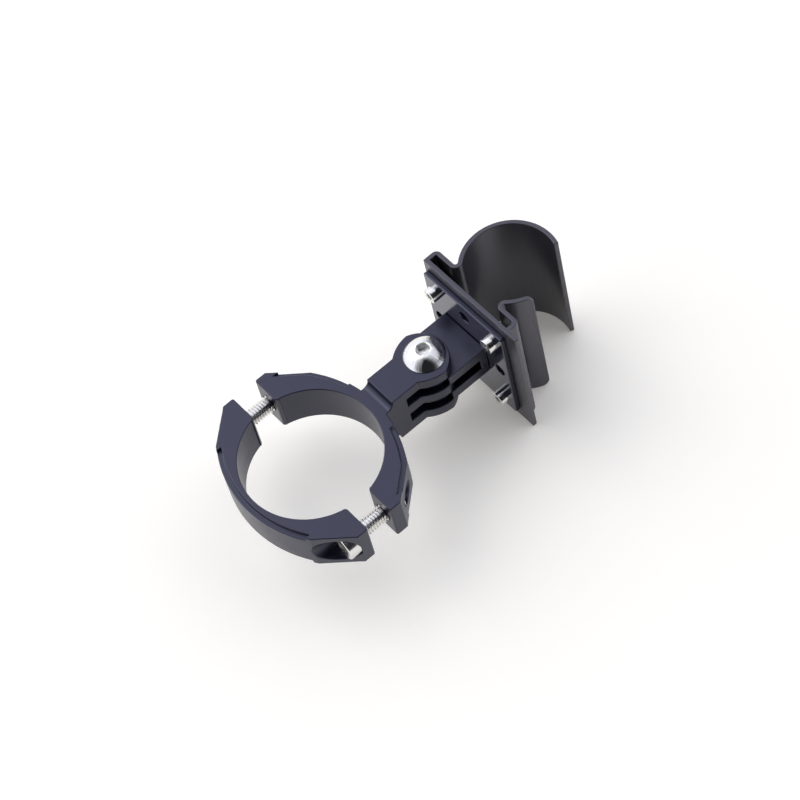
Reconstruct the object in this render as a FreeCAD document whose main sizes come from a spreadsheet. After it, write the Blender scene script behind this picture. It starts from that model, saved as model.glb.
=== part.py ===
import FreeCAD, Part
import math
import os
import Sketcher

# Handlebar clamp with a hinged, sprung tube clip.
# Origin: centre of the bar bore, half way up its height. +Z is the bar's axis, +X points along
# the arm to the clip, and +Y is the left side. Millimetres.

DIMENSIONS = [
    ("bar_radius", 16.0, "bore of the clamp halves, for a 32 mm bar"),
    ("ring_height", 10.8, "clamp height along the bar"),
    ("rim_radius", 29.5, "outside arc of each half"),
    ("rim_back", 18.3, "bore centre to the middle of the outside arc"),
    ("flank_start", 16.3, "half width at which the outside arc meets the lug's flank"),
    ("lug_reach", 23.0, "half width over the lugs"),
    ("lug_depth", 6.9, "bore centre to the lug's outer corner"),
    ("lug_break", 0.9, "chamfer of the lug's outer corner"),
    ("half_gap", 3.1, "bore centre to each half's parting face"),
    ("rebate_width", 1.15, "milled step round the outside rim"),
    ("rebate_depth", 0.9, "depth of that step"),
    ("rebate_inset", 1.5, "saddle's step, measured along the arm"),
    ("screw_offset", 19.4, "clamp screws to the bore centre, sideways"),
    ("arm_height", 14.8, "arm and prong stack"),
    ("arm_width", 8.6, "arm between the ring and the boss"),
    ("arm_start", 20.0, "bore centre to the arm's raised block"),
    ("root_fillet", 1.6, "block to ring"),
    ("root_depth", 1.2, "overlap of the arm's root with the ring"),
    ("slot_start", 23.6, "closed ends of the prong slots"),
    ("prong", 2.9, "thickness of every prong"),
    ("prong_play", 0.075, "clearance on each side of a bracket prong"),
    ("pivot_reach", 32.9, "bore centre to the hinge axis"),
    ("boss_start", 5.6, "hinge axis back to where the arm's end widens"),
    ("boss_half", 6.6, "half width of the arm's wide end"),
    ("boss_flank", 9.5, "radius of the wide end's flanks"),
    ("boss_corner", 0.3, "hinge axis to the wide end's corners"),
    ("boss_tip", 5.1, "hinge axis to the arm's tip"),
    ("bracket_width", 13.4, "bracket behind its prongs' noses"),
    ("nose_radius", 5.2, "round nose of the bracket's prongs"),
    ("nose_shoulder", 0.7, "hinge axis to the shoulders of the noses"),
    ("foot", 2.0, "web that joins the bracket's prongs"),
    ("plate_reach", 11.3, "hinge axis to the backing plate"),
    ("plate_sheet", 1.2, "thickness of the backing plate"),
    ("plate_width", 25.6, "backing plate across"),
    ("plate_height", 29.2, "backing plate along the clip"),
    ("plate_shift", -0.8, "plate's middle off the arm's middle"),
    ("plate_corner", 0.6, "rounding of the plate's corners"),
    ("spare_hole", 3.0, "diameter of the plate's spare holes"),
    ("spare_side", 9.9, "spare holes beside the bracket"),
    ("spare_end", 10.3, "spare holes above and below the bracket"),
    ("clip_height", 35.0, "tube clip along its tube"),
    ("clip_shift", -1.7, "clip's middle off the arm's middle"),
    ("clip_radius", 10.35, "inside of the clip's long arc"),
    ("clip_reach", 12.5, "base's arm-side face to the clip's centre"),
    ("web_left", 14.45, "clip's middle to the left web's outside"),
    ("web_right", 12.75, "clip's middle to the right web's outside"),
    ("base_right", 15.7, "clip's middle to the base's free edge"),
    ("sheet", 1.1, "thickness of the tube clip's walls"),
    ("rail_rise", 4.0, "base's arm-side face to the rails' outside"),
    ("bend_radius", 0.5, "inside of the bends at the rails' ends"),
    ("corner_radius", 0.3, "inside of the corners between webs and rails"),
    ("bend_side", 7.4, "clip's middle to the short lip's bend"),
    ("bolt_side", 9.3, "plate screws to the plate's middle, sideways"),
    ("bolt_end", 10.8, "plate screws to mid height"),
    ("clamp_thread", 4.0, "M4"),
    ("clamp_head", 7.0, "M4 low head, across"),
    ("clamp_head_height", 2.8, "M4 low head"),
    ("clamp_length", 14.0, "M4 screw under its head"),
    ("seat_depth", 2.8, "cap's metal between parting face and screw head"),
    ("seat_bore", 7.6, "counterbore"),
    ("pivot_thread", 5.0, "M5"),
    ("pivot_head", 9.5, "M5 button head, across"),
    ("pivot_head_height", 2.75, "M5 button head"),
    ("pivot_length", 14.0, "M5 screw under its head"),
    ("plate_thread", 2.0, "M2"),
    ("plate_head", 3.6, "M2 cap head, across"),
    ("plate_head_height", 2.0, "M2 cap head"),
    ("nut_flats", 4.0, "M2 nut across flats"),
    ("nut_height", 1.2, "M2 thin nut"),
    ("foot_thread", 2.5, "M2.5"),
    ("foot_head", 4.5, "M2.5 countersunk head, across"),
    ("foot_bolt_side", 3.8, "bracket screws to the arm's middle"),
    ("running_play", 0.06, "radial clearance of a screw in its hole"),
    ("socket_wide", 3.0, "hex key of the pivot screw and the clamp screws"),
    ("socket_deep", 1.65, "depth of those hex sockets"),
    ("socket_small", 1.5, "hex key of the plate screws and bracket screws"),
]


class Size:
    """A length kept both as a number and as an expression on the sheet."""

    def __init__(self, value, text):
        self.value = value
        self.text = text

    def combine(self, other, sign, value):
        other_text = other.text if isinstance(other, Size) else repr(float(other))
        return Size(value, f"({self.text} {sign} {other_text})")

    def __add__(self, other):
        return self.combine(other, "+", self.value + number(other))

    def __sub__(self, other):
        return self.combine(other, "-", self.value - number(other))

    def __mul__(self, other):
        return self.combine(other, "*", self.value * number(other))

    def __truediv__(self, other):
        return self.combine(other, "/", self.value / number(other))

    def __neg__(self):
        return Size(-self.value, f"(-1 * {self.text})")


def number(size):
    return size.value if isinstance(size, Size) else float(size)


def root(size):
    """Square root of a squared length."""
    return Size(math.sqrt(size.value), f"sqrt({size.text})")


def chord(radius, offset):
    """Half chord of a circle, at a distance from its centre."""
    return root(radius * radius - offset * offset)


doc = FreeCAD.newDocument("handlebar_clip_mount")
sheet = doc.addObject("Spreadsheet::Sheet", "Sizes")
for row, (alias, value, meaning) in enumerate(DIMENSIONS, start=1):
    sheet.set(f"A{row}", meaning)
    sheet.set(f"B{row}", str(value))
    sheet.setAlias(f"B{row}", alias)
doc.recompute()

D = {alias: Size(value, f"Sizes.{alias}") for alias, value, meaning in DIMENSIONS}
ZERO = Size(0.0, "0")


# ---------------------------------------------------------------- modelling helpers

def bind(item, prop, size):
    item.setExpression(prop, size.text)


def new_body(name):
    body = doc.addObject("PartDesign::Body", name)
    body.Label = name
    return body


def new_sketch(body, role, name, offset=None):
    """A sketch on one of the body's own origin planes, moved along the plane's normal."""
    sketch = body.newObject("Sketcher::SketchObject", f"{body.Name}_{name}")
    planes = [item for item in body.Origin.OriginFeatures if item.Role == role]
    sketch.AttachmentSupport = [(planes[0], "")]
    sketch.MapMode = "FlatFace"
    if offset is not None:
        bind(sketch, "AttachmentOffset.Base.z", offset)
    return sketch


def pin_point(sketch, geometry, end, place):
    """Hold a point of the sketch at sheet distances from the sketch's origin."""
    for kind, size in zip(("DistanceX", "DistanceY"), place):
        rule = Sketcher.Constraint(kind, -1, 1, geometry, end, number(size))
        index = sketch.addConstraint(rule)
        sketch.setExpression(f"Constraints[{index}]", size.text)


def vector(place):
    return FreeCAD.Vector(number(place[0]), number(place[1]), 0)


def draw_outline(sketch, corners, arcs=()):
    """Closed outline through the corners. An arc entry (index, radius, middle) bends the side
    that starts at that corner, passing near the middle point."""
    bends = {index: (radius, middle) for index, radius, middle in arcs}
    sides = []
    for index, corner in enumerate(corners):
        start = vector(corner)
        end = vector(corners[(index + 1) % len(corners)])
        if index in bends:
            arc = Part.Arc(start, vector(bends[index][1]), end)
            sides.append(sketch.addGeometry(arc))
        else:
            sides.append(sketch.addGeometry(Part.LineSegment(start, end)))
    ends = [start_and_end(sketch, side, corners[index]) for index, side in enumerate(sides)]
    for index, side in enumerate(sides):
        following = (index + 1) % len(sides)
        rule = Sketcher.Constraint("Coincident", side, ends[index][1], sides[following], ends[following][0])
        sketch.addConstraint(rule)
        pin_point(sketch, side, ends[index][0], corners[index])
    for index, (radius, middle) in bends.items():
        rule = Sketcher.Constraint("Radius", sides[index], number(radius))
        added = sketch.addConstraint(rule)
        sketch.setExpression(f"Constraints[{added}]", radius.text)


def start_and_end(sketch, side, corner):
    """Point numbers of a side, first the one that lies on its own corner."""
    first = sketch.getPoint(side, 1)
    if first.distanceToPoint(vector(corner)) < 0.01:
        return 1, 2
    return 2, 1


def draw_circle(sketch, place, radius):
    circle = sketch.addGeometry(Part.Circle(vector(place), FreeCAD.Vector(0, 0, 1), number(radius)))
    pin_point(sketch, circle, 3, place)
    index = sketch.addConstraint(Sketcher.Constraint("Radius", circle, number(radius)))
    sketch.setExpression(f"Constraints[{index}]", radius.text)


def pad(body, sketch, name, length, symmetric=True):
    feature = body.newObject("PartDesign::Pad", f"{body.Name}_{name}")
    feature.Profile = sketch
    feature.SideType = "Symmetric" if symmetric else "One side"
    bind(feature, "Length", length)
    doc.recompute()
    return feature


def pocket(body, sketch, name, length=None, symmetric=False, toward_normal=False):
    """Cut the sketch out of the body, and check that something was cut."""
    before = body.Shape.Volume
    feature = body.newObject("PartDesign::Pocket", f"{body.Name}_{name}")
    feature.Profile = sketch
    feature.SideType = "Symmetric" if symmetric else "One side"
    feature.Reversed = toward_normal
    if length is None:
        feature.Type = "ThroughAll"
    else:
        bind(feature, "Length", length)
    doc.recompute()
    if body.Shape.Volume > before - 0.01:
        raise RuntimeError(f"{feature.Name} cuts nothing")
    return feature


def fillet_edges(body, name, radius, wanted):
    """Round the edges of the body's tip whose middle point passes the test."""
    base = body.Tip
    names = [f"Edge{n}" for n, edge in enumerate(base.Shape.Edges, start=1) if wanted(edge)]
    if not names:
        raise RuntimeError(f"{name} finds no edge")
    feature = body.newObject("PartDesign::Fillet", f"{body.Name}_{name}")
    feature.Base = (base, names)
    bind(feature, "Radius", radius)
    doc.recompute()
    return feature


def edge_middle(edge):
    return edge.valueAt((edge.FirstParameter + edge.LastParameter) / 2)


def cylinder(name, radius, height, place, axis="Z"):
    """A cylinder that starts at a place and runs along an axis of the frame."""
    item = doc.addObject("Part::Cylinder", name)
    bind(item, "Radius", radius)
    bind(item, "Height", height)
    put(item, place, axis)
    return item


def put(item, place, axis="Z"):
    turns = {"Z": (0, 0, 1, 0), "X": (0, 1, 0, 90), "-X": (0, 1, 0, -90)}
    x, y, z, angle = turns[axis]
    item.Placement.Rotation = FreeCAD.Rotation(FreeCAD.Vector(x, y, z), angle)
    for part, size in zip(("x", "y", "z"), place):
        bind(item, f"Placement.Base.{part}", size)


def hex_prism(name, flats, height, place, axis="Z"):
    item = doc.addObject("Part::Prism", name)
    item.Polygon = 6
    bind(item, "Circumradius", flats / math.sqrt(3))
    bind(item, "Height", height)
    put(item, place, axis)
    return item


def cone(name, low, high, height, place, axis="Z"):
    item = doc.addObject("Part::Cone", name)
    bind(item, "Radius1", low)
    bind(item, "Radius2", high)
    bind(item, "Height", height)
    put(item, place, axis)
    return item


def box(name, corner, sizes):
    item = doc.addObject("Part::Box", name)
    for prop, size in zip(("Length", "Width", "Height"), sizes):
        bind(item, prop, size)
    put(item, corner)
    return item


def fuse(name, shapes):
    item = doc.addObject("Part::MultiFuse", name)
    item.Shapes = shapes
    item.Refine = True
    return item


def cut(name, base, tool):
    item = doc.addObject("Part::Cut", name)
    item.Base = base
    item.Tool = tool
    return item


# ---------------------------------------------------------------- places worked out from the sizes

RING_HALF = D["ring_height"] / 2
ARM_HALF = D["arm_height"] / 2
BORE_EDGE = chord(D["bar_radius"], D["half_gap"])
RIM_CENTRE = D["rim_back"] - D["rim_radius"]
FLANK_X = RIM_CENTRE + chord(D["rim_radius"], D["flank_start"])
SLOT_HEIGHT = (D["arm_height"] - D["prong"] * 3) / 2
PLATE_X = D["pivot_reach"] + D["plate_reach"]
BASE_X = PLATE_X + D["plate_sheet"]
CLIP_X = BASE_X + D["clip_reach"]
CLIP_LOW = -(D["clip_height"] / 2)

# Degrees in plan, from +X towards +Y, round the centres of the long arc and of the lip.
ARC_END = -18.0
LIP_SWEEP = 31.0


# ---------------------------------------------------------------- the two clamp halves

def mirrored(corners, side):
    """The saddle lies at +X and the cap at -X."""
    return [(x * side, y) for x, y in corners]


def ring_corners():
    """Half ring from the left lug round the outside to the right lug, then back by the bore."""
    left = [
        (D["half_gap"], D["lug_reach"]),
        (D["lug_depth"] - D["lug_break"], D["lug_reach"]),
        (D["lug_depth"], D["lug_reach"] - D["lug_break"]),
        (FLANK_X, D["flank_start"]),
    ]
    right = [(x, -y) for x, y in reversed(left)]
    return left + right + [(D["half_gap"], -BORE_EDGE), (D["half_gap"], BORE_EDGE)]


def draw_half_ring(body, side):
    sketch = new_sketch(body, "XY_Plane", "outline")
    outer_arc = (3, D["rim_radius"], (D["rim_back"] * side, ZERO))
    bore_arc = (8, D["bar_radius"], (D["bar_radius"] * side, ZERO))
    draw_outline(sketch, mirrored(ring_corners(), side), [outer_arc, bore_arc])
    pad(body, sketch, "ring", D["ring_height"])


def cut_screw_holes(body, radius):
    sketch = new_sketch(body, "YZ_Plane", "screw_holes")
    for way in (1, -1):
        draw_circle(sketch, (D["screw_offset"] * way, ZERO), radius)
    pocket(body, sketch, "screw_holes", D["lug_reach"] * 4, symmetric=True)


def rebate_corners(end_y):
    """Band along the outside arc, from half width end_y to the same on the other side."""
    inner_radius = D["rim_radius"] - D["rebate_width"]
    outer_radius = D["rim_radius"] + D["rebate_width"]
    inner_x = RIM_CENTRE + chord(inner_radius, end_y)
    outer_x = RIM_CENTRE + chord(outer_radius, end_y)
    return [(inner_x, end_y), (outer_x, end_y), (outer_x, -end_y), (inner_x, -end_y)]


def cut_cap_rebates(body):
    """One long step round the back of the cap, on its top and its bottom."""
    corners = mirrored(rebate_corners(D["flank_start"] - D["rebate_width"]), -1)
    inner_radius = D["rim_radius"] - D["rebate_width"]
    outer_radius = D["rim_radius"] + D["rebate_width"]
    inner_arc = (3, inner_radius, (-(RIM_CENTRE + inner_radius), ZERO))
    outer_arc = (1, outer_radius, (-(RIM_CENTRE + outer_radius), ZERO))
    for name, way in (("top", 1), ("bottom", -1)):
        sketch = new_sketch(body, "XY_Plane", f"rebate_{name}", RING_HALF * way)
        draw_outline(sketch, corners, [inner_arc, outer_arc])
        pocket(body, sketch, f"rebate_{name}", D["rebate_depth"], toward_normal=way < 0)


def cut_saddle_rebates(body):
    """A step on each side of the arm, along the flank, on the top and the bottom."""
    slope_x = (FLANK_X - D["lug_depth"]) / (D["lug_reach"] - D["lug_break"] - D["flank_start"])
    low_y = D["arm_width"] / 2 + D["root_fillet"] * 2
    high_y = D["lug_reach"] - D["lug_break"] - D["rebate_width"]
    inset = D["rebate_inset"]
    inner_radius = D["rim_radius"] - D["rebate_width"]
    inner_low = RIM_CENTRE + chord(inner_radius, low_y)
    high_x = FLANK_X - slope_x * (high_y - D["flank_start"])
    for name, way in (("top", 1), ("bottom", -1)):
        for side_name, side in (("left", 1), ("right", -1)):
            sketch = new_sketch(body, "XY_Plane", f"rebate_{name}_{side_name}", RING_HALF * way)
            corners = [
                (inner_low, low_y * side),
                (D["rim_back"] + D["rebate_width"], low_y * side),
                (high_x + inset * 2, high_y * side),
                (high_x - inset, high_y * side),
                (FLANK_X - inset, D["flank_start"] * side),
            ]
            middle_y = (low_y + D["flank_start"]) / 2
            middle = (RIM_CENTRE + chord(inner_radius, middle_y), middle_y * side)
            draw_outline(sketch, corners, [(4, inner_radius, middle)])
            pocket(body, sketch, f"rebate_{name}_{side_name}", D["rebate_depth"], toward_normal=way < 0)


def draw_arm_end(sketch, arm_half):
    """The arm's block: straight sides, then flanks that swell to two corners and a round tip."""
    neck_x = D["pivot_reach"] - D["boss_start"]
    corner_x = D["pivot_reach"] + D["boss_corner"]
    tip_x = D["pivot_reach"] + D["boss_tip"]
    half = D["boss_half"]
    corners = [
        (D["arm_start"], -arm_half),
        (neck_x, -arm_half),
        (corner_x, -half),
        (corner_x, half),
        (neck_x, arm_half),
        (D["arm_start"], arm_half),
    ]
    rise = tip_x - corner_x
    tip_radius = (rise * rise + half * half) / (rise * 2)
    flank_x = (neck_x + corner_x) / 2
    flank_y = arm_half / 4 + half * 3 / 4
    arcs = [
        (1, D["boss_flank"], (flank_x, -flank_y)),
        (2, tip_radius, (tip_x, ZERO)),
        (3, D["boss_flank"], (flank_x, flank_y)),
    ]
    draw_outline(sketch, corners, arcs)


def make_saddle():
    body = new_body("clamp_saddle")
    draw_half_ring(body, 1)
    cut_saddle_rebates(body)
    arm = new_sketch(body, "XY_Plane", "arm")
    arm_half = D["arm_width"] / 2
    root_x = D["bar_radius"] + D["root_depth"]
    arm_corners = [
        (root_x, -arm_half),
        (D["arm_start"], -arm_half),
        (D["arm_start"], arm_half),
        (root_x, arm_half),
    ]
    draw_outline(arm, arm_corners)
    pad(body, arm, "root", D["ring_height"])
    block = new_sketch(body, "XY_Plane", "block")
    draw_arm_end(block, arm_half)
    pad(body, block, "block", D["arm_height"])

    def at_block_foot(edge):
        point = edge_middle(edge)
        on_wall = abs(point.x - number(D["arm_start"])) < 0.01 and abs(point.y) < 0.01
        return on_wall and abs(abs(point.z) - number(RING_HALF)) < 0.01

    fillet_edges(body, "block_foot", D["root_fillet"], at_block_foot)
    slots = new_sketch(body, "XZ_Plane", "slots")
    slot_end = D["pivot_reach"] + D["boss_half"] * 2
    slot_low = D["prong"] / 2
    slot_high = slot_low + SLOT_HEIGHT
    for way in (1, -1):
        corners = [
            (D["slot_start"], slot_low * way),
            (slot_end, slot_low * way),
            (slot_end, slot_high * way),
            (D["slot_start"], slot_high * way),
        ]
        draw_outline(slots, corners)
    pocket(body, slots, "slots", D["lug_reach"] * 2, symmetric=True)
    pin_hole = new_sketch(body, "XY_Plane", "pivot_hole")
    draw_circle(pin_hole, (D["pivot_reach"], ZERO), D["pivot_thread"] / 2 + D["running_play"])
    pocket(body, pin_hole, "pivot_hole", D["arm_height"] * 2, symmetric=True)
    cut_screw_holes(body, D["clamp_thread"] / 2 + D["running_play"])
    return body


def make_cap():
    body = new_body("clamp_cap")
    draw_half_ring(body, -1)
    cut_cap_rebates(body)
    cut_screw_holes(body, D["clamp_thread"] / 2 + D["running_play"])
    seat_x = -(D["half_gap"] + D["seat_depth"])
    seats = new_sketch(body, "YZ_Plane", "screw_seats", seat_x)
    for way in (1, -1):
        draw_circle(seats, (D["screw_offset"] * way, ZERO), D["seat_bore"] / 2)
    pocket(body, seats, "screw_seats")
    return body


# ---------------------------------------------------------------- bracket and backing plate

def make_bracket():
    body = new_body("adapter_bracket")
    outline = new_sketch(body, "XY_Plane", "outline")
    half = D["bracket_width"] / 2
    nose = D["nose_radius"]
    shoulder_x = D["pivot_reach"] + D["nose_shoulder"]
    corners = [
        (D["pivot_reach"], nose),
        (D["pivot_reach"] - nose, ZERO),
        (D["pivot_reach"], -nose),
        (shoulder_x, -nose),
        (shoulder_x, -half),
        (PLATE_X, -half),
        (PLATE_X, half),
        (shoulder_x, half),
        (shoulder_x, nose),
    ]
    slant = nose * math.sqrt(0.5)
    left_arc = (0, nose, (D["pivot_reach"] - slant, slant))
    right_arc = (1, nose, (D["pivot_reach"] - slant, -slant))
    draw_outline(outline, corners, [left_arc, right_arc])
    height = D["prong"] + SLOT_HEIGHT * 2 - D["prong_play"] * 2
    pad(body, outline, "block", height)
    slot = new_sketch(body, "XZ_Plane", "slot")
    low_x = D["pivot_reach"] - D["bracket_width"]
    high_x = PLATE_X - D["foot"]
    slot_half = D["prong"] / 2 + D["prong_play"]
    slot_corners = [
        (low_x, -slot_half),
        (high_x, -slot_half),
        (high_x, slot_half),
        (low_x, slot_half),
    ]
    draw_outline(slot, slot_corners)
    pocket(body, slot, "slot", D["bracket_width"] * 2, symmetric=True)
    pin_hole = new_sketch(body, "XY_Plane", "pivot_hole")
    draw_circle(pin_hole, (D["pivot_reach"], ZERO), D["pivot_thread"] / 2 + D["running_play"])
    pocket(body, pin_hole, "pivot_hole", D["arm_height"] * 2, symmetric=True)
    screw_holes = new_sketch(body, "YZ_Plane", "screw_holes", PLATE_X)
    for way in (1, -1):
        draw_circle(screw_holes, (D["foot_bolt_side"] * way, ZERO), D["foot_thread"] / 2)
    pocket(body, screw_holes, "screw_holes", D["foot"])
    return body


def plate_screw_places():
    """Y and Z of the four plate screws, counted from the upper left."""
    left = D["plate_shift"] + D["bolt_side"]
    right = D["plate_shift"] - D["bolt_side"]
    up = D["bolt_end"]
    return [(left, up), (right, up), (right, -up), (left, -up)]


def make_plate():
    body = new_body("backing_plate")
    face = new_sketch(body, "YZ_Plane", "face", PLATE_X)
    left = D["plate_shift"] + D["plate_width"] / 2
    right = D["plate_shift"] - D["plate_width"] / 2
    up = D["plate_height"] / 2
    draw_outline(face, [(left, -up), (left, up), (right, up), (right, -up)])
    pad(body, face, "sheet", D["plate_sheet"], symmetric=False)
    holes = new_sketch(body, "YZ_Plane", "holes", BASE_X)
    middle = D["plate_shift"]
    for way in (1, -1):
        draw_circle(holes, (middle + D["spare_side"] * way, ZERO), D["spare_hole"] / 2)
        draw_circle(holes, (middle, D["spare_end"] * way), D["spare_hole"] / 2)
    for place in plate_screw_places():
        draw_circle(holes, place, D["plate_thread"] / 2)
    pocket(body, holes, "holes")

    def round_corner(edge):
        point = edge_middle(edge)
        at_side = min(abs(point.y - number(left)), abs(point.y - number(right))) < 0.01
        return at_side and abs(abs(point.z) - number(up)) < 0.01

    fillet_edges(body, "corners", D["plate_corner"], round_corner)
    for side, way in (("left", 1), ("right", -1)):
        sinker = body.newObject("PartDesign::SubtractiveCone", f"backing_plate_sink_{side}")
        bind(sinker, "Radius1", D["foot_thread"] / 2)
        bind(sinker, "Radius2", D["foot_head"] / 2)
        bind(sinker, "Height", D["plate_sheet"])
        put(sinker, (PLATE_X, D["foot_bolt_side"] * way, ZERO), "X")
        doc.recompute()
    return body


# ---------------------------------------------------------------- sprung tube clip

def sector(name, centre, inner, start, sweep):
    """A bend of the sheet in plan, from an angle through a sweep, over the clip's whole height."""
    solids = []
    for layer, radius in (("outside", inner + D["sheet"]), ("inside", inner)):
        item = cylinder(f"{name}_{layer}", radius, D["clip_height"], (centre[0], centre[1], CLIP_LOW))
        item.Placement.Rotation = FreeCAD.Rotation(FreeCAD.Vector(0, 0, 1), start)
        item.Angle = sweep if layer == "outside" else 360
        solids.append(item)
    return cut(name, solids[0], solids[1])


def strip(name, low_x, high_x, low_y, high_y):
    corner = (low_x, low_y, CLIP_LOW)
    return box(name, corner, (high_x - low_x, high_y - low_y, D["clip_height"]))


def make_clip():
    """Base, two webs with rails, the long arc and the short lip, bent from one sheet."""
    middle_y = D["clip_shift"]
    rail_out = BASE_X + D["rail_rise"]
    rail_in = rail_out - D["sheet"]
    left_out = middle_y + D["web_left"]
    right_out = middle_y - D["web_right"]
    base_end = middle_y - D["base_right"]
    arc_out = D["clip_radius"] + D["sheet"]
    bend_out = D["bend_radius"] + D["sheet"]
    corner_out = D["corner_radius"] + D["sheet"]
    corner_x = rail_out - corner_out
    left_corner_y = left_out - corner_out
    right_corner_y = right_out + corner_out

    # The left bend touches the long arc, whose centre line it meets from outside.
    bend_x = rail_in + bend_out
    reach = arc_out + D["bend_radius"]
    left_bend_y = middle_y + chord(reach, CLIP_X - bend_x)
    joint_angle = math.degrees(math.atan2(number(left_bend_y - middle_y), number(bend_x - CLIP_X)))
    right_bend_y = middle_y - D["bend_side"]

    # The lip leaves the right bend at 45 degrees, and curves as the arc does.
    quarter = 90.0
    lip_start = 180.0 + quarter / 2
    slant = (bend_out + D["clip_radius"]) * math.sqrt(0.5)
    lip_centre = (bend_x + slant, right_bend_y + slant)
    pieces = [
        strip("clip_base", BASE_X, BASE_X + D["sheet"], base_end, left_out),
        strip("clip_left_web", BASE_X, corner_x, left_out - D["sheet"], left_out),
        strip("clip_left_rail", rail_in, rail_out, left_bend_y, left_corner_y),
        strip("clip_right_web", BASE_X, corner_x, right_out, right_out + D["sheet"]),
        strip("clip_right_rail", rail_in, rail_out, right_corner_y, right_bend_y),
        sector("clip_left_corner", (corner_x, left_corner_y), D["corner_radius"], 0.0, quarter),
        sector("clip_right_corner", (corner_x, right_corner_y), D["corner_radius"], -quarter, quarter),
        sector("clip_left_bend", (bend_x, left_bend_y), D["bend_radius"], 180.0, joint_angle),
        sector("clip_right_bend", (bend_x, right_bend_y), D["bend_radius"], quarter / 2, quarter * 1.5),
        sector("clip_arc", (CLIP_X, middle_y), D["clip_radius"], ARC_END, joint_angle - ARC_END),
        sector("clip_lip", lip_centre, D["clip_radius"], lip_start, LIP_SWEEP),
    ]
    body = fuse("tube_clip_sheet", pieces)
    holes = [
        cylinder(f"clip_hole_{n}", D["plate_thread"] / 2, D["sheet"] * 3, (PLATE_X, y, z), "X")
        for n, (y, z) in enumerate(plate_screw_places(), start=1)
    ]
    clip = cut("tube_clip", body, fuse("clip_holes", holes))
    clip.Label = "tube_clip"
    return clip


# ---------------------------------------------------------------- screws and nuts

def make_clamp_screw(name, way):
    y = D["screw_offset"] * way
    seat_x = -(D["half_gap"] + D["seat_depth"])
    face_x = seat_x - D["clamp_head_height"]
    head = cylinder(f"{name}_head", D["clamp_head"] / 2, D["clamp_head_height"], (face_x, y, ZERO), "X")
    shank_start = (seat_x - 1, y, ZERO)
    shank = cylinder(f"{name}_shank", D["clamp_thread"] / 2, D["clamp_length"] + 1, shank_start, "X")
    socket = hex_prism(f"{name}_socket", D["socket_wide"], D["socket_deep"], (face_x, y, ZERO), "X")
    screw = cut(name, fuse(f"{name}_solid", [head, shank]), socket)
    screw.Label = name
    return screw


def make_pivot_screw():
    """Button head: the dome is the part of a ball above the head's seat, inside its rim."""
    name = "pivot_screw"
    centre = D["pivot_reach"]
    rim = D["pivot_head"] / 2
    height = D["pivot_head_height"]
    ball_radius = (rim * rim + height * height) / (height * 2)
    ball = doc.addObject("Part::Sphere", f"{name}_ball")
    bind(ball, "Radius", ball_radius)
    put(ball, (centre, ZERO, ARM_HALF + height - ball_radius))
    rim_solid = cylinder(f"{name}_rim", rim, height, (centre, ZERO, ARM_HALF))
    dome = doc.addObject("Part::Common", f"{name}_dome")
    dome.Base = ball
    dome.Tool = rim_solid
    low_z = ARM_HALF - D["pivot_length"]
    shank = cylinder(f"{name}_shank", D["pivot_thread"] / 2, D["pivot_length"] + 1, (centre, ZERO, low_z))
    top_z = ARM_HALF + height
    socket_foot = (centre, ZERO, top_z - D["socket_deep"])
    socket = hex_prism(f"{name}_socket", D["socket_wide"], D["socket_deep"], socket_foot)
    screw = cut(name, fuse(f"{name}_solid", [dome, shank]), socket)
    screw.Label = name
    return screw


def make_plate_screw(name, y, z):
    face_x = PLATE_X - D["plate_head_height"]
    grip = D["plate_sheet"] + D["sheet"] + D["nut_height"]
    head = cylinder(f"{name}_head", D["plate_head"] / 2, D["plate_head_height"], (face_x, y, z), "X")
    shank = cylinder(f"{name}_shank", D["plate_thread"] / 2, grip + 1, (PLATE_X - 1, y, z), "X")
    socket = hex_prism(f"{name}_socket", D["socket_small"], D["plate_head_height"] / 2, (face_x, y, z), "X")
    screw = cut(name, fuse(f"{name}_solid", [head, shank]), socket)
    screw.Label = name
    return screw


def make_plate_nut(name, y, z):
    face_x = BASE_X + D["sheet"]
    body = hex_prism(f"{name}_body", D["nut_flats"], D["nut_height"], (face_x, y, z), "X")
    hole = cylinder(f"{name}_hole", D["plate_thread"] / 2, D["nut_height"], (face_x, y, z), "X")
    nut = cut(name, body, hole)
    nut.Label = name
    return nut


def make_bracket_screw(name, way):
    y = D["foot_bolt_side"] * way
    thread = D["foot_thread"] / 2
    head = cone(f"{name}_head", thread, D["foot_head"] / 2, D["plate_sheet"], (PLATE_X, y, ZERO), "X")
    shank = cylinder(f"{name}_shank", thread, D["foot"], (PLATE_X - D["foot"], y, ZERO), "X")
    socket = hex_prism(f"{name}_socket", D["socket_small"], D["plate_sheet"] / 2, (BASE_X, y, ZERO), "-X")
    screw = cut(name, fuse(f"{name}_solid", [head, shank]), socket)
    screw.Label = name
    return screw


# ---------------------------------------------------------------- build, check and write

def build_all():
    made = [make_saddle(), make_cap(), make_bracket(), make_plate(), make_clip(), make_pivot_screw()]
    for side, way in (("left", 1), ("right", -1)):
        made.append(make_clamp_screw(f"clamp_screw_{side}", way))
        made.append(make_bracket_screw(f"bracket_screw_{side}", way))
    for index, (y, z) in enumerate(plate_screw_places(), start=1):
        made.append(make_plate_screw(f"plate_screw_{index}", y, z))
        made.append(make_plate_nut(f"plate_nut_{index}", y, z))
    return made


def check(made):
    for item in doc.Objects:
        if "Invalid" in item.State or "Error" in item.State:
            raise RuntimeError(f"{item.Name} failed: {item.State}")
    for item in made:
        if item.Shape.isNull() or not item.Shape.isValid() or len(item.Shape.Solids) != 1:
            raise RuntimeError(f"{item.Label} isn't one valid solid")


parts = build_all()
doc.recompute()
check(parts)
os.makedirs("parts", exist_ok=True)
for part in parts:
    part.Shape.exportStep(f"parts/{part.Label}.step")
    print(f"{part.Label}: {part.Shape.Volume:.1f} mm3")
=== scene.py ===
import math

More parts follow.
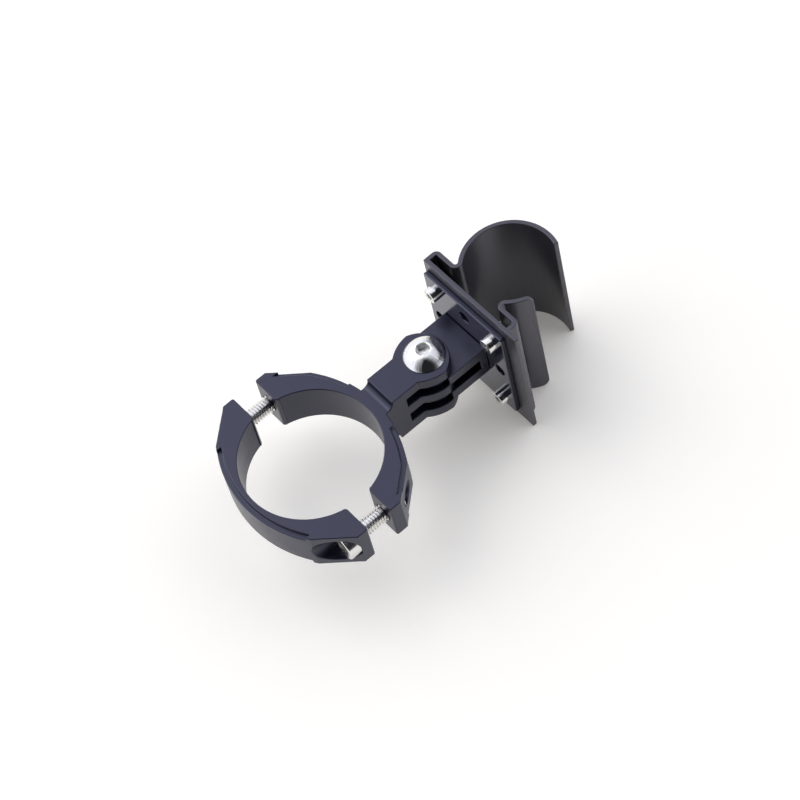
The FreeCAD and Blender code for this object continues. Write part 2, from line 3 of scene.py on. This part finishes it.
import bpy
from mathutils import Matrix, Quaternion, Vector


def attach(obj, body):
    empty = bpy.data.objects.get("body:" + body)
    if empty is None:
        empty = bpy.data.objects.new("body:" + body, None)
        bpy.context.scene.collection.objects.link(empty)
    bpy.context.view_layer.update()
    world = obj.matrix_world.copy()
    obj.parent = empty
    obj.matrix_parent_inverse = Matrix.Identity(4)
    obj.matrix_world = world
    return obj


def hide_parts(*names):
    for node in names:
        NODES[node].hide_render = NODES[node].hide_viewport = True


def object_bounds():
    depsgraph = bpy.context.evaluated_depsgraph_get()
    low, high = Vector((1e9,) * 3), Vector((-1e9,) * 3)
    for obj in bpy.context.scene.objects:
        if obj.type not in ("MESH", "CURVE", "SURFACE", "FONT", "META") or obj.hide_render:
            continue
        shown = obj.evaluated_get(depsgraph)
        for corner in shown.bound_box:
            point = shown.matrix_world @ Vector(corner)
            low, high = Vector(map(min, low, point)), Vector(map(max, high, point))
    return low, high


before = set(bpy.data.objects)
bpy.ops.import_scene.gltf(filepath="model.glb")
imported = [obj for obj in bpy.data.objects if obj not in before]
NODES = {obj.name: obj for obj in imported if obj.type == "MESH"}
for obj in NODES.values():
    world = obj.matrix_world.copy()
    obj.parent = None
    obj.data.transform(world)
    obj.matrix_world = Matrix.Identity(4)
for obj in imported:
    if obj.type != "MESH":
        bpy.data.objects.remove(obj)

# Handlebar clamp with a hinged, sprung tube clip. The frame is the CAD's, in metres: the origin is
# the centre of the bar bore, +X runs along the arm to the clip, +Y is left and +Z is up.
CAD_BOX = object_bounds()
MM = 0.001
FINE = 1e-7

# softened edges of the machined and the sheet pieces, and how sharp an edge is softened
EDGE_BREAK = 0.24 * MM
SHEET_BREAK = 0.2 * MM
BREAK_ANGLE = 32
SMOOTH_ANGLE = 35
TURNED_SMOOTH_ANGLE = 32

# merging of the CAD's triangles
MERGE = 0.002 * MM
FLAT_ANGLE = 0.5

# the half clamps' rounded upright corners
BORE = 16.0 * MM
PARTING = 3.1 * MM
LUG_END = 23.0 * MM
BORE_ROUND = 0.8 * MM
LUG_ROUND = 0.5 * MM
UPRIGHT_CUT = 14 * MM
ROUND_FACETS = 64

# the clip's short lip, in the middle of its sheet
LIP_CENTRE = Vector((58.35, -0.65, 0)) * MM
LIP_RADIUS = 10.9 * MM
LIP_END = math.radians(256)
LIP_ROUND = 1.8 * MM
LIP_CUT = 4 * MM
LIP_MERGE = 0.04 * MM

# screws: head height, thread size and pitch, key size, and the plain length under the head
CLAMP_SCREW = {
    "height": 2.8 * MM, "thread": 4 * MM, "pitch": 0.7 * MM, "flats": 3 * MM, "plain": 1.6 * MM}
PLATE_SCREW = {
    "height": 2 * MM, "thread": 2 * MM, "pitch": 0.4 * MM, "flats": 1.5 * MM, "plain": 0.8 * MM}
HEAD_CHAMFER = 0.055
SOCKET_DEPTH = 0.55
MOUTH_DROP = 0.14
THREAD_DEPTH = 0.61
THREAD_RUN_IN = 1.485
THREAD_OVERLAP = 0.4
THREAD_STEPS = 32
TOOTH = ((0, 0), (0, 0.12), (1, 0.44), (1, 0.56), (0, 0.88), (0, 1))
NUT_BORE = 0.96 * MM
NUT_BREAK = 0.05 * MM

# the pivot's button head
HEAD_RISE = 2.75 * MM
HEAD_EDGE = 0.4 * MM
HEAD_TAPER = 0.975
HEAD_BREAK = 0.16 * MM
PIVOT_RADIUS = 2.5 * MM
PIVOT_FLATS = 3.1 * MM
PIVOT_SOCKET = 1.75 * MM
PIVOT_MOUTH_DROP = 0.2
PIVOT_TURN = math.radians(12)
PIVOT_TIP = 0.4 * MM


def node_box(name):
    """Lowest and highest corner of a CAD node."""
    points = [NODES[name].matrix_world @ vertex.co for vertex in NODES[name].data.vertices]
    low = Vector([min(point[axis] for point in points) for axis in range(3)])
    high = Vector([max(point[axis] for point in points) for axis in range(3)])
    return low, high


# ---------------------------------------------------------------- selection and mesh helpers

def deselect_all():
    bpy.ops.object.select_all(action="DESELECT")


def take(piece):
    """Make one object the only selected and active one."""
    deselect_all()
    piece.select_set(True)
    bpy.context.view_layer.objects.active = piece


def edit(piece):
    take(piece)
    bpy.ops.object.mode_set(mode="EDIT")
    bpy.ops.mesh.select_all(action="DESELECT")


def leave_edit():
    bpy.ops.object.mode_set(mode="OBJECT")


def pick(piece, kind, test):
    """Select the faces or edges whose middle, and normal or direction, pass the test."""
    bpy.ops.mesh.select_mode(type=kind)
    bpy.ops.mesh.select_all(action="DESELECT")
    bpy.ops.object.mode_set(mode="OBJECT")
    mesh = piece.data
    count = 0
    if kind == "FACE":
        for face in mesh.polygons:
            face.select = test(face.center, face.normal)
            count += face.select
    else:
        for edge in mesh.edges:
            start, end = [mesh.vertices[index].co for index in edge.vertices]
            edge.select = test((start + end) / 2, end - start)
            count += edge.select
    bpy.ops.object.mode_set(mode="EDIT")
    if not count:
        raise RuntimeError(f"nothing picked on {piece.name}")


def add_modifier(piece, kind, **settings):
    """Add a modifier, set it up and apply it."""
    take(piece)
    modifier = piece.modifiers.new(kind.lower(), kind)
    for key, value in settings.items():
        setattr(modifier, key, value)
    bpy.ops.object.modifier_apply(modifier=modifier.name)


def apply_place(piece):
    take(piece)
    bpy.ops.object.transform_apply(location=True, rotation=True, scale=True)


def cut_away(piece, cutter):
    """Take one closed shape out of another."""
    add_modifier(piece, "BOOLEAN", operation="DIFFERENCE", object=cutter, solver="EXACT")
    bpy.data.objects.remove(cutter)


def weld_on(piece, other):
    add_modifier(piece, "BOOLEAN", operation="UNION", object=other, solver="EXACT")
    bpy.data.objects.remove(other)


def break_edges(piece, width, segments=3, angle=BREAK_ANGLE, edge_material=-1):
    """Softened machined edges, which may take a material of their own."""
    add_modifier(
        piece, "BEVEL", width=width, segments=segments, limit_method="ANGLE",
        angle_limit=math.radians(angle), use_clamp_overlap=False, material=edge_material,
    )


def smooth(piece, angle=SMOOTH_ANGLE):
    """Smooth shading that keeps the flats flat."""
    take(piece)
    bpy.ops.object.shade_smooth_by_angle(angle=math.radians(angle))
    add_modifier(piece, "WEIGHTED_NORMAL", keep_sharp=True)


def finish_piece(piece, node, body, materials):
    for material in materials:
        piece.data.materials.append(material)
    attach(piece, body)
    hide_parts(node)


# ---------------------------------------------------------------- materials

class Surface:
    """A material under construction: its nodes, links and shader."""

    def __init__(self, name):
        self.material = bpy.data.materials.new(name)
        self.material.use_nodes = True
        self.nodes = self.material.node_tree.nodes
        self.links = self.material.node_tree.links
        self.shader = self.nodes["Principled BSDF"]
        self.place = self.nodes.new("ShaderNodeTexCoord").outputs["Object"]

    def stretched(self, scale, middle=(0, 0, 0)):
        mapping = self.nodes.new("ShaderNodeMapping")
        mapping.inputs["Scale"].default_value = scale
        mapping.inputs["Location"].default_value = [-m * s for m, s in zip(middle, scale)]
        self.links.new(self.place, mapping.inputs["Vector"])
        return mapping.outputs["Vector"]

    def noise(self, vector, detail=3, roughness=0.5):
        texture = self.nodes.new("ShaderNodeTexNoise")
        texture.inputs["Scale"].default_value = 1
        texture.inputs["Detail"].default_value = detail
        texture.inputs["Roughness"].default_value = roughness
        self.links.new(vector, texture.inputs["Vector"])
        return texture.outputs["Fac"]

    def spread(self, value, low, high):
        """Map a 0 to 1 pattern on to a range, from its usual middle part."""
        node = self.nodes.new("ShaderNodeMapRange")
        node.inputs["From Min"].default_value = 0.3
        node.inputs["From Max"].default_value = 0.7
        node.inputs["To Min"].default_value = low
        node.inputs["To Max"].default_value = high
        self.links.new(value, node.inputs["Value"])
        return node.outputs["Result"]

    def tint(self, value, dark, light):
        node = self.nodes.new("ShaderNodeMix")
        node.data_type = "RGBA"
        self.links.new(value, node.inputs["Factor"])
        node.inputs["A"].default_value = (*dark, 1)
        node.inputs["B"].default_value = (*light, 1)
        self.links.new(node.outputs["Result"], self.shader.inputs["Base Color"])

    def bump(self, height, depth):
        node = self.nodes.new("ShaderNodeBump")
        node.inputs["Strength"].default_value = 1
        node.inputs["Distance"].default_value = depth
        self.links.new(height, node.inputs["Height"])
        self.links.new(node.outputs["Normal"], self.shader.inputs["Normal"])

    def rough(self, value):
        self.links.new(value, self.shader.inputs["Roughness"])


def make_anodised():
    """Bead-blasted and dyed: a fine matt grain, with faint clouds in the dye."""
    surface = Surface("black_anodised_aluminium")
    grain = surface.noise(surface.stretched((9000, 9000, 9000)), detail=2)
    clouds = surface.noise(surface.stretched((220, 220, 220)), detail=4)
    surface.tint(clouds, (0.004, 0.004, 0.013), (0.007, 0.007, 0.021))
    surface.rough(surface.spread(clouds, 0.30, 0.37))
    surface.bump(grain, 0.006 * MM)
    surface.shader.inputs["IOR"].default_value = 1.66
    surface.shader.inputs["Specular Tint"].default_value = (0.76, 0.77, 1.0, 1)
    return surface.material


def make_painted_edge_highlight():
    """Painted edge highlight: the broken edges are coloured lighter and bluer than the faces, in
    place of the light they catch.
    """
    surface = Surface("black_anodised_painted_edge_highlight")
    edge_highlight_mottle = surface.noise(surface.stretched((500, 500, 500)), detail=3)
    # painted highlight: a light lavender colour on the edge bevels stands in for the light that
    # catches them
    surface.tint(edge_highlight_mottle, (0.08, 0.08, 0.13), (0.34, 0.34, 0.48))
    surface.rough(surface.spread(edge_highlight_mottle, 0.22, 0.3))
    surface.shader.inputs["IOR"].default_value = 1.7
    return surface.material


def make_extrusion():
    """Drawn section: die lines along its length, in the bumps and in the gloss."""
    surface = Surface("black_anodised_extrusion")
    lines = surface.noise(surface.stretched((2600, 2600, 14)), detail=4, roughness=0.6)
    bands = surface.noise(surface.stretched((420, 420, 6)), detail=2)
    surface.tint(bands, (0.016, 0.015, 0.021), (0.026, 0.024, 0.032))
    surface.rough(surface.spread(lines, 0.30, 0.37))
    surface.bump(lines, 0.010 * MM)
    surface.shader.inputs["IOR"].default_value = 1.75
    surface.shader.inputs["Specular Tint"].default_value = (0.9, 0.88, 1.0, 1)
    return surface.material


def make_plate_finish():
    """Rolled sheet, dyed and sealed: glossier than the machined parts."""
    surface = Surface("black_anodised_sheet")
    clouds = surface.noise(surface.stretched((300, 300, 300)), detail=4)
    surface.tint(clouds, (0.012, 0.012, 0.022), (0.020, 0.020, 0.036))
    surface.rough(surface.spread(clouds, 0.13, 0.2))
    surface.shader.inputs["IOR"].default_value = 1.75
    surface.shader.inputs["Specular Tint"].default_value = (0.75, 0.77, 1.0, 1)
    return surface.material


def make_turned_steel(centre):
    """Stainless turned about an upright axis: fine lines that run out from the centre."""
    surface = Surface("turned_stainless")
    split = surface.nodes.new("ShaderNodeSeparateXYZ")
    surface.links.new(surface.stretched((1, 1, 1), centre), split.inputs["Vector"])
    turn = surface.nodes.new("ShaderNodeMath")
    turn.operation = "ARCTAN2"
    surface.links.new(split.outputs["X"], turn.inputs[0])
    surface.links.new(split.outputs["Y"], turn.inputs[1])
    rays = surface.nodes.new("ShaderNodeTexNoise")
    rays.noise_dimensions = "1D"
    rays.inputs["Scale"].default_value = 26
    rays.inputs["Detail"].default_value = 3
    surface.links.new(turn.outputs["Value"], rays.inputs["W"])
    surface.rough(surface.spread(rays.outputs["Fac"], 0.03, 0.10))
    surface.bump(rays.outputs["Fac"], 0.03 * MM)
    surface.shader.inputs["Base Color"].default_value = (0.83, 0.82, 0.80, 1)
    surface.shader.inputs["Metallic"].default_value = 1
    return surface.material


def make_steel():
    """Bright stainless with a rolled thread: fine scratches and mixed gloss."""
    surface = Surface("bright_stainless")
    marks = surface.noise(surface.stretched((900, 2500, 2500)), detail=3)
    surface.tint(marks, (0.70, 0.69, 0.67), (0.86, 0.85, 0.83))
    surface.rough(surface.spread(marks, 0.12, 0.26))
    surface.shader.inputs["Metallic"].default_value = 1
    return surface.material


ANODISED = make_anodised()
# painted edge highlight: the material of the broken edges, lighter than the faces
PAINTED_EDGE_HIGHLIGHT = make_painted_edge_highlight()
EXTRUSION = make_extrusion()
SHEET = make_plate_finish()
STEEL = make_steel()


# ---------------------------------------------------------------- machined and sheet pieces

def copy_of_node(node, name):
    """A merged copy of a CAD node, with the triangles of each flat face joined."""
    piece = NODES[node].copy()
    piece.data = NODES[node].data.copy()
    piece.parent = None
    piece.matrix_world = Matrix.Identity(4)
    for key in list(piece.keys()):
        del piece[key]
    piece.name = name
    piece.data.materials.clear()
    bpy.context.scene.collection.objects.link(piece)
    edit(piece)
    bpy.ops.mesh.select_all(action="SELECT")
    bpy.ops.mesh.customdata_custom_splitnormals_clear()
    bpy.ops.mesh.remove_doubles(threshold=MERGE)
    bpy.ops.mesh.dissolve_limited(angle_limit=math.radians(FLAT_ANGLE))
    leave_edit()
    return piece


def make_waste(radius, centre, inner, corner, height):
    """What lies between a box's inner and outer corners, less a round about a centre."""
    deselect_all()
    bpy.ops.mesh.primitive_cube_add(
        size=1, location=((inner[0] + corner[0]) / 2, (inner[1] + corner[1]) / 2, 0),
        scale=(abs(inner[0] - corner[0]), abs(inner[1] - corner[1]), height))
    waste = bpy.context.object
    apply_place(waste)
    deselect_all()
    bpy.ops.mesh.primitive_cylinder_add(
        vertices=ROUND_FACETS, radius=radius, depth=height * 2, location=(centre[0], centre[1], 0))
    kept = bpy.context.object
    apply_place(kept)
    cut_away(waste, kept)
    return waste


def cut_round(piece, radius, centre, inner, corner):
    """Cut an upright corner back to a round."""
    cut_away(piece, make_waste(radius, centre, inner, corner, UPRIGHT_CUT))


def round_half(piece):
    """Round a half clamp's four upright corners beside its gap."""
    facing = 1 if sum(vertex.co.x for vertex in piece.data.vertices) > 0 else -1
    for side in (1, -1):
        gap = PARTING + BORE_ROUND
        middle = math.sqrt((BORE + BORE_ROUND) ** 2 - gap ** 2)
        touch = gap * BORE / (BORE + BORE_ROUND)
        centre = (facing * gap, side * middle)
        corner = (facing * (PARTING - BORE_ROUND), side * (middle - 2 * BORE_ROUND))
        cut_round(piece, BORE_ROUND, centre, (facing * touch, centre[1]), corner)
        centre = (facing * (PARTING + LUG_ROUND), side * (LUG_END - LUG_ROUND))
        corner = (facing * (PARTING - LUG_ROUND), side * (LUG_END + LUG_ROUND))
        cut_round(piece, LUG_ROUND, centre, centre, corner)


def round_lip_corners(piece):
    """Round the top and bottom corners of the lip's free end."""
    out = Vector((math.cos(LIP_END), math.sin(LIP_END), 0))
    along = Vector((-out.y, out.x, 0))
    reach = LIP_ROUND * 1.2
    for side in (1, -1):
        waste = make_waste(LIP_ROUND, (0, 0), (0, 0), (reach, side * reach), LIP_CUT)
        turn = Matrix((along, Vector((0, 0, 1)), out)).transposed().to_4x4()
        place = LIP_CENTRE + out * LIP_RADIUS - along * LIP_ROUND
        place.z = side * (CAD_BOX[1].z - LIP_ROUND)
        waste.matrix_world = Matrix.Translation(place) @ turn
        apply_place(waste)
        cut_away(piece, waste)
    edit(piece)
    bpy.ops.mesh.select_all(action="SELECT")
    bpy.ops.mesh.remove_doubles(threshold=LIP_MERGE)
    leave_edit()


def make_machined(node, body, materials, width, shape=None):
    piece = copy_of_node(node, f"{node}_finished")
    if shape:
        shape(piece)
    # the broken edges take the second material, which carries the painted edge highlight
    break_edges(piece, width, edge_material=1)
    smooth(piece)
    finish_piece(piece, node, body, materials)


# ---------------------------------------------------------------- screws and nuts

def add_cylinder(name, radius, low, high, vertices=64):
    bpy.ops.mesh.primitive_cylinder_add(
        vertices=vertices, radius=radius, depth=high - low, location=(0, 0, (low + high) / 2))
    piece = bpy.context.object
    piece.name = name
    apply_place(piece)
    return piece


def add_socket_cutter(flats, top, depth, mouth_drop=MOUTH_DROP):
    """Hex key socket with a countersunk mouth, opening upwards at a height."""
    across = flats / math.sqrt(3)
    deselect_all()
    cutter = add_cylinder("socket", across, top - depth, top + depth, vertices=6)
    edit(cutter)
    pick(cutter, "FACE", lambda middle, normal: normal.z < -0.9)
    bpy.ops.mesh.inset(thickness=across * 0.12)
    bpy.ops.transform.translate(value=(0, 0, -depth * 0.12))
    leave_edit()
    bpy.ops.mesh.primitive_cone_add(
        vertices=48, radius1=0, radius2=across * 1.75, depth=across * 0.875,
        location=(0, 0, top - across * mouth_drop))
    mouth = bpy.context.object
    mouth.scale = (1, 1, 0.8)
    apply_place(mouth)
    weld_on(cutter, mouth)
    return cutter


def add_thread(name, radius, pitch, low, high):
    """Rolled thread: one tooth swept round the axis, turn after turn."""
    depth = pitch * THREAD_DEPTH
    turns = math.ceil((high - low) / pitch) + 2
    mesh = bpy.data.meshes.new(name)
    points = [
        (radius - depth * (1 - rise), 0, low + (share - THREAD_RUN_IN) * pitch)
        for rise, share in TOOTH]
    mesh.from_pydata(points, [(index, index + 1) for index in range(len(points) - 1)], [])
    piece = bpy.data.objects.new(name, mesh)
    bpy.context.scene.collection.objects.link(piece)
    add_modifier(
        piece, "SCREW", angle=2 * math.pi, screw_offset=pitch, iterations=turns,
        steps=THREAD_STEPS, render_steps=THREAD_STEPS, use_merge_vertices=True,
        merge_threshold=2 * MERGE,
        use_normal_calculate=True)
    edit(piece)
    bpy.ops.mesh.select_all(action="SELECT")
    bpy.ops.mesh.remove_doubles(threshold=MERGE)
    bpy.ops.mesh.bisect(
        plane_co=(0, 0, low), plane_no=(0, 0, 1), use_fill=True, clear_inner=True,
        threshold=FINE)
    bpy.ops.mesh.select_all(action="SELECT")
    bpy.ops.mesh.bisect(
        plane_co=(0, 0, high), plane_no=(0, 0, 1), use_fill=True, clear_outer=True,
        threshold=FINE)
    bpy.ops.mesh.select_all(action="SELECT")
    bpy.ops.mesh.normals_make_consistent(inside=False)
    leave_edit()
    return piece


def make_cap_screw(head, length, kind):
    """Cap screw along +Z from its seat at z = 0: the head lies below, the shank above."""
    height, pitch, plain = kind["height"], kind["pitch"], kind["plain"]
    radius = kind["thread"] / 2
    deselect_all()
    screw = add_cylinder("screw_pattern", head / 2, -height, 0, vertices=72)
    edit(screw)
    pick(screw, "EDGE", lambda middle, way: (
        middle.z < -height * 0.99 and abs(way.z) < height * 0.01))
    bpy.ops.mesh.bevel(offset=head * HEAD_CHAMFER, segments=3, affect="EDGES")
    leave_edit()
    deselect_all()
    cutter = add_socket_cutter(kind["flats"], 0, kind["flats"] * SOCKET_DEPTH)
    cutter.rotation_euler = (math.pi, 0, 0)
    cutter.location = (0, 0, -height)
    apply_place(cutter)
    cut_away(screw, cutter)
    deselect_all()
    shank = add_cylinder("shank", radius * 0.97, -height * 0.2, plain)
    weld_on(screw, shank)
    tip = add_thread("thread", radius, pitch, plain - pitch * THREAD_OVERLAP, length)
    take(screw)
    tip.select_set(True)
    bpy.ops.object.join()
    return screw


def place_copy(pattern, name, place):
    """A copy with its own mesh, turned from +Z to +X and moved to its place."""
    piece = pattern.copy()
    piece.data = pattern.data.copy()
    piece.name = name
    bpy.context.scene.collection.objects.link(piece)
    piece.rotation_euler = (0, math.pi / 2, 0)
    apply_place(piece)
    piece.location = place
    apply_place(piece)
    return piece


def place_copies(pattern, bodies, seat):
    """A copy for each node, its origin a set distance along from the node's low end."""
    for node, body in bodies.items():
        low, high = node_box(node)
        place = (low.x + seat, (low.y + high.y) / 2, (low.z + high.z) / 2)
        piece = place_copy(pattern, f"{node}_turned", place)
        finish_piece(piece, node, body, [STEEL])
    bpy.data.objects.remove(pattern)


def make_cap_screws(kind, bodies):
    """One cap screw, copied to each of its nodes."""
    low, high = node_box(next(iter(bodies)))
    pattern = make_cap_screw(high.y - low.y, high.x - low.x - kind["height"], kind)
    smooth(pattern, TURNED_SMOOTH_ANGLE)
    place_copies(pattern, bodies, kind["height"])


def make_plate_nuts():
    """Hex nuts with their corners turned off, made along +Z from z = 0."""
    low, high = node_box("plate_nut_1")
    height = high.x - low.x
    flats = min(high.y - low.y, high.z - low.z)
    deselect_all()
    nut = add_cylinder("plate_nut_pattern", flats / math.sqrt(3), 0, height, vertices=6)
    deselect_all()
    bpy.ops.mesh.primitive_cone_add(
        vertices=72, radius1=flats * 0.98, radius2=flats * 0.5, depth=height * 1.2,
        location=(0, 0, height * 0.5))
    turned = bpy.context.object
    turned.scale = (1, 1, 0.9)
    apply_place(turned)
    add_modifier(nut, "BOOLEAN", operation="INTERSECT", object=turned, solver="EXACT")
    bpy.data.objects.remove(turned)
    deselect_all()
    bore = add_cylinder("bore", NUT_BORE, -height, height * 2, vertices=48)
    cut_away(nut, bore)
    break_edges(nut, NUT_BREAK, segments=2, angle=25)
    smooth(nut)
    place_copies(nut, {f"plate_nut_{number}": "clip_assembly" for number in range(1, 5)}, 0)


def make_pivot_screw():
    """Button head screw: a dome cut from a ball, its hex socket, and the plain shank."""
    low, high = node_box("pivot_screw")
    rim = (high.y - low.y) / 2
    rise = HEAD_RISE - HEAD_EDGE
    seat = high.z - rise - HEAD_EDGE
    ball = (rim * rim + rise * rise) / (2 * rise)
    centre = Vector(((low.x + high.x) / 2, (low.y + high.y) / 2, 0))
    deselect_all()
    bpy.ops.mesh.primitive_uv_sphere_add(
        segments=96, ring_count=64, radius=ball, location=(0, 0, high.z - ball))
    screw = bpy.context.object
    screw.name = "pivot_screw_turned"
    apply_place(screw)
    edit(screw)
    bpy.ops.mesh.select_all(action="SELECT")
    bpy.ops.mesh.bisect(
        plane_co=(0, 0, seat + HEAD_EDGE), plane_no=(0, 0, 1), use_fill=True, clear_inner=True,
        threshold=FINE)
    pick(screw, "FACE", lambda middle, normal: normal.z < -0.9)
    bpy.ops.mesh.extrude_region_move(TRANSFORM_OT_translate={"value": (0, 0, -HEAD_EDGE)})
    bpy.ops.transform.resize(value=(HEAD_TAPER, HEAD_TAPER, 1))
    leave_edit()
    deselect_all()
    cutter = add_socket_cutter(PIVOT_FLATS, high.z, PIVOT_SOCKET, PIVOT_MOUTH_DROP)
    cutter.rotation_euler = (0, 0, PIVOT_TURN)
    apply_place(cutter)
    cut_away(screw, cutter)
    add_modifier(
        screw, "BEVEL", width=HEAD_BREAK, segments=2, limit_method="ANGLE",
        angle_limit=math.radians(40), use_clamp_overlap=True)
    deselect_all()
    shank = add_cylinder("shank", PIVOT_RADIUS, low.z, seat + HEAD_EDGE, vertices=64)
    edit(shank)
    pick(shank, "EDGE", lambda middle, way: (
        middle.z < low.z + 0.01 * MM and abs(way.z) < 0.01 * MM))
    bpy.ops.mesh.bevel(offset=PIVOT_TIP, segments=2, affect="EDGES")
    leave_edit()
    weld_on(screw, shank)
    edit(screw)
    bpy.ops.mesh.select_all(action="SELECT")
    bpy.ops.mesh.dissolve_degenerate(threshold=FINE)
    leave_edit()
    screw.location = centre
    apply_place(screw)
    smooth(screw, TURNED_SMOOTH_ANGLE)
    finish_piece(
        screw, "pivot_screw", "hinge_screw", [make_turned_steel(centre)])


# ---------------------------------------------------------------- build

for half, body in (("clamp_saddle", "saddle"), ("clamp_cap", "cap")):
    make_machined(half, body, [ANODISED, PAINTED_EDGE_HIGHLIGHT], EDGE_BREAK, round_half)
make_machined("adapter_bracket", "clip_assembly", [ANODISED, PAINTED_EDGE_HIGHLIGHT], EDGE_BREAK)
make_machined("backing_plate", "clip_assembly", [SHEET, PAINTED_EDGE_HIGHLIGHT], SHEET_BREAK)
make_machined(
    "tube_clip", "clip_assembly", [EXTRUSION, PAINTED_EDGE_HIGHLIGHT], SHEET_BREAK, round_lip_corners)
make_cap_screws(CLAMP_SCREW, {
    f"clamp_screw_{side}": f"{side}_clamp_screw" for side in ("left", "right")})
make_pivot_screw()
make_cap_screws(PLATE_SCREW, {
    f"plate_screw_{number}": "clip_assembly" for number in range(1, 5)})
make_plate_nuts()
for side in ("left", "right"):
    for material_slot in NODES[f"bracket_screw_{side}"].material_slots:
        material_slot.material = STEEL


# ---------------------------------------------------------------- floor, light and camera

CAMERA_PLACE = Vector((-134.6, -313.0, 549.0)) * MM
CAMERA_AIM = Vector((23.85, -0.70, 0.0)) * MM
CAMERA_ROLL = -16.07
LENS = 135
SENSOR = 36

WORLD_LIGHT = 1.25
WORLD_DIM = 0.02
DIM_WAY = (-0.4, -0.75, 0.52)
DIM_OUTER = 56
DIM_INNER = 44
FLOOR_GLOW = 0.17


def make_floor():
    deselect_all()
    bpy.ops.mesh.primitive_plane_add(size=4, location=(0, 0, CAD_BOX[0].z))
    floor = bpy.context.object
    floor.name = "floor"
    apply_place(floor)
    surface = Surface("pale_floor")
    grain = surface.noise(surface.stretched((700, 700, 700)), detail=4)
    surface.tint(grain, (0.95, 0.91, 0.83), (0.99, 0.95, 0.87))
    surface.shader.inputs["Roughness"].default_value = 0.7
    surface.shader.inputs["Emission Color"].default_value = (1, 0.98, 0.93, 1)
    surface.shader.inputs["Emission Strength"].default_value = FLOOR_GLOW
    floor.data.materials.append(surface.material)


def make_world():
    """White all round, with a dim patch where the unlit side of the studio is."""
    world = bpy.data.worlds.new("studio")
    world.use_nodes = True
    nodes = world.node_tree.nodes
    links = world.node_tree.links
    way = nodes.new("ShaderNodeTexCoord").outputs["Generated"]
    facing = nodes.new("ShaderNodeVectorMath")
    facing.operation = "DOT_PRODUCT"
    facing.inputs[1].default_value = Vector(DIM_WAY).normalized()
    links.new(way, facing.inputs[0])
    patch = nodes.new("ShaderNodeMapRange")
    patch.interpolation_type = "SMOOTHSTEP"
    patch.inputs["From Min"].default_value = math.cos(math.radians(DIM_OUTER))
    patch.inputs["From Max"].default_value = math.cos(math.radians(DIM_INNER))
    patch.inputs["To Min"].default_value = WORLD_LIGHT
    patch.inputs["To Max"].default_value = WORLD_DIM
    links.new(facing.outputs["Value"], patch.inputs["Value"])
    background = nodes["Background"]
    background.inputs["Color"].default_value = (0.87, 0.9, 1, 1)
    links.new(patch.outputs["Result"], background.inputs["Strength"])
    bpy.context.scene.world = world


def add_softbox(name, direction, distance, size, power):
    """A square area light that shines on the object from a direction, in metres and watts."""
    centre = (CAD_BOX[0] + CAD_BOX[1]) / 2
    light = bpy.data.lights.new(name, "AREA")
    light.size = size
    light.energy = power
    lamp = bpy.data.objects.new(name, light)
    bpy.context.scene.collection.objects.link(lamp)
    way = Vector(direction).normalized()
    lamp.location = centre + way * distance
    lamp.rotation_mode = "QUATERNION"
    lamp.rotation_quaternion = way.to_track_quat("Z", "Y")


def make_camera():
    data = bpy.data.cameras.new("camera")
    data.sensor_width = SENSOR
    data.lens = LENS
    camera = bpy.data.objects.new("camera", data)
    bpy.context.scene.collection.objects.link(camera)
    camera.location = CAMERA_PLACE
    camera.rotation_mode = "QUATERNION"
    facing = (CAMERA_AIM - CAMERA_PLACE).to_track_quat("-Z", "Y")
    roll = Quaternion((0, 0, 1), math.radians(CAMERA_ROLL))
    camera.rotation_quaternion = facing @ roll
    bpy.context.scene.camera = camera


make_floor()
make_world()
add_softbox("key", (-0.35, 0.8, 0.8), 1.3, 1.0, 5)
make_camera()
bpy.context.scene.view_settings.view_transform = "Standard"
